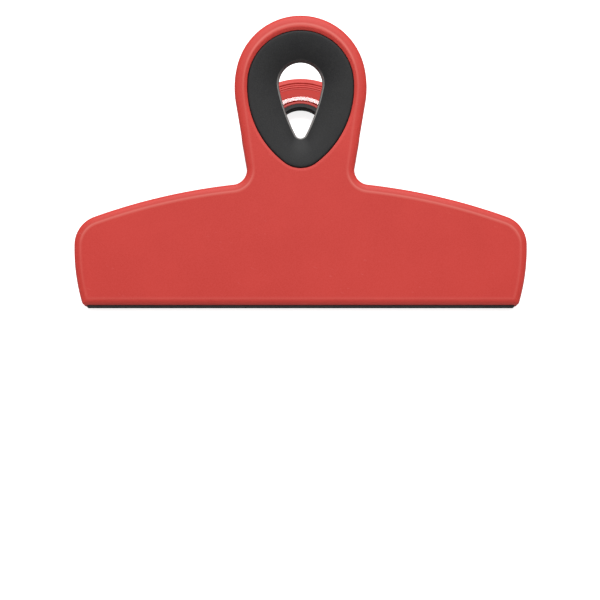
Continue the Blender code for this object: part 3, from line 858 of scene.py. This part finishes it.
def black_rubber():
    finish, tree, shader, place = new_finish("black soft rubber", 0.6, 0.0, 0.3)
    surface = use(tree, grain, place, Grain_Scale=3000.0, Cloud_Scale=70.0)
    dust = use(tree, specks, place, Speck_Scale=170.0, Share=0.07, Size=0.08)
    cloud = ramp_node(tree, surface.outputs["Cloud"], 0.3, 0.7)
    colour = blend_colour(tree, cloud, (0.008, 0.008, 0.009), (0.013, 0.013, 0.013))
    fleck = math_node(tree, "MULTIPLY", ramp_node(tree, surface.outputs["Height"], 0.5, 1.1), 0.25)
    colour = blend_colour(tree, fleck, colour, (0.045, 0.045, 0.046))
    # painted highlight: the mouth of the hole is lightened to grey
    mouth = math_node(tree, "MULTIPLY", attribute(tree, "mouth"), 0.85)
    colour = blend_colour(tree, mouth, colour, (0.26, 0.25, 0.24))
    dusty = math_node(tree, "MULTIPLY", dust.outputs["Mask"], 0.6)
    colour = blend_colour(tree, dusty, colour, (0.20, 0.20, 0.20))
    tree.links.new(colour, shader.inputs["Base Color"])
    rough = math_node(tree, "MULTIPLY_ADD", surface.outputs["Height"], 0.12, 0.50)
    tree.links.new(rough, shader.inputs["Roughness"])
    bump(tree, shader, surface.outputs["Height"], 0.00002, 0.6)
    return finish


def steel(name, bright, dull, low, high, grain_scale):
    """Metal with drawn-wire streaks and a slightly uneven shine."""
    finish, tree, shader, place = new_finish(name, 0.25, 1.0)
    surface = use(tree, grain, place, Grain_Scale=grain_scale, Cloud_Scale=160.0)
    marks = use(tree, scuffs, place, Length_Scale=200.0, Width_Scale=6000.0, Amount=1.0)
    cloud = ramp_node(tree, surface.outputs["Cloud"], 0.35, 0.65)
    colour = blend_colour(tree, cloud, dull, bright)
    tree.links.new(colour, shader.inputs["Base Color"])
    rough = math_node(tree, "MULTIPLY_ADD", cloud, high - low, low)
    rough = math_node(tree, "MULTIPLY_ADD", marks.outputs["Mask"], 0.2, rough)
    tree.links.new(rough, shader.inputs["Roughness"])
    bump(tree, shader, surface.outputs["Height"], 0.000006, 0.5)
    return finish


def floor_finish():
    """Pale sweep with a glow that only the camera sees, so that it looks nearly white."""
    finish, tree, shader, place = new_finish("pale studio floor", 0.8, 0.0, 0.2)
    seen = tree.nodes.new("ShaderNodeLightPath").outputs["Is Camera Ray"]
    tint = ramp_node(tree, noise_node(tree, place, 6.0, 3.0), 0.3, 0.7)
    colour = blend_colour(tree, tint, (0.60, 0.60, 0.60), (0.64, 0.64, 0.64))
    tree.links.new(colour, shader.inputs["Base Color"])
    tree.links.new(seen, shader.inputs["Emission Color"])
    shader.inputs["Emission Strength"].default_value = 0.85
    return finish


red, black = red_moulding(), black_rubber()
spring_steel = steel("plated spring steel", (0.72, 0.72, 0.74), (0.60, 0.60, 0.62), 0.16, 0.30, 5000.0)
pin_steel = steel("drawn pin steel", (0.64, 0.64, 0.66), (0.52, 0.52, 0.54), 0.22, 0.38, 5000.0)


# ---- the clip ----------------------------------------------------------------------------------------
def settle(item, name, finish, body, node, turned_round=False):
    """Name a piece, bring its mesh from the half frame to its place, give it its finish, hide the CAD node it
    replaces and hang it on its body if it has one.
    """
    item.name = item.data.name = name
    item.data.transform(Matrix.Translation((0.0, -lip_v, 0.0)))
    if turned_round:
        turn = Matrix.Rotation(math.pi, 4, middle_line)
        item.data.transform(Matrix.Translation(hinge) @ turn @ Matrix.Translation(-hinge))
    item.data.materials.clear()
    item.data.materials.append(finish)
    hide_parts(node)
    if body:
        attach(item, body)


def copied(item):
    copy = item.copy()
    copy.data = item.data.copy()
    bpy.context.collection.objects.link(copy)
    return copy


halves = (("moulding", make_moulding, mark_moulding, red, "red_moulding", "shell"),
          ("soft_ring", make_grip, mark_grip, black, "soft_grip", "grip"),
          ("lip_strip", make_strip, None, black, "soft_grip", "seal"))
for label, make, marking, finish, slot, kind in halves:
    piece = make()
    if marking:
        marking(piece)
    other = copied(piece)
    settle(piece, "rear_" + label, finish, "rear_half", "rear_" + kind)
    settle(other, "front_" + label, finish, "front_half", "front_" + kind, True)
settle(make_pin(), "headed_pin", pin_steel, "rear_half", "hinge_pin")
settle(make_washer(), "push_washer", pin_steel, "rear_half", "pin_washer")
spring = make_spring()
settle(spring, "coil_spring", spring_steel, None, "torsion_spring")
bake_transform(spring)


# ---- studio ------------------------------------------------------------------------------------------
def soft_light(name, place, aim, width, height, power, colour=(1.0, 1.0, 1.0)):
    lamp = bpy.data.lights.new(name, "AREA")
    lamp.shape = "RECTANGLE"
    lamp.size, lamp.size_y, lamp.energy, lamp.color = width, height, power, colour
    item = bpy.data.objects.new(name, lamp)
    bpy.context.collection.objects.link(item)
    item.location = place
    item.rotation_euler = (Vector(aim) - Vector(place)).to_track_quat("-Z", "Y").to_euler()
    return item


bpy.ops.object.select_all(action="DESELECT")
bpy.ops.mesh.primitive_grid_add(x_subdivisions=24, y_subdivisions=24, size=6.0, location=(0.0, 0.0, -0.0001))
floor = bpy.context.active_object
floor.name = "studio_floor"
floor.data.materials.append(floor_finish())

soft_light("overhead_key", (0.0, 0.30, 1.05), (0.0, 0.02, 0.02), 1.2, 0.9, 15.0)
soft_light("back_strip", (0.0, 0.82, 0.935), (0.0, 0.062, 0.0044), 0.3, 0.06, 1.8)
soft_light("front_fill", (0.0, -0.9, 0.9), (0.0, 0.0, 0.02), 0.8, 0.6, 1.2)

world = bpy.data.worlds.new("studio")
world.use_nodes = True
world.node_tree.nodes["Background"].inputs["Color"].default_value = (1.0, 1.0, 1.0, 1.0)
behind = world.node_tree.nodes.new("ShaderNodeLightPath").outputs["Is Camera Ray"]
room_light = 0.24
strength = math_node(world.node_tree, "MULTIPLY_ADD", behind, 1.0 - room_light, room_light)
world.node_tree.links.new(strength, world.node_tree.nodes["Background"].inputs["Strength"])
bpy.context.scene.world = world
bpy.context.scene.view_settings.view_transform = "Standard"

camera = bpy.data.objects.new("camera", bpy.data.cameras.new("camera"))
bpy.context.collection.objects.link(camera)
camera.location = (-0.0002, -0.1698, 0.2901)
camera.rotation_euler = (math.radians(90.0 - 62.82), 0.0, 0.0)
camera.data.lens = 57.25
camera.data.clip_start = 0.01
bpy.context.scene.camera = camera
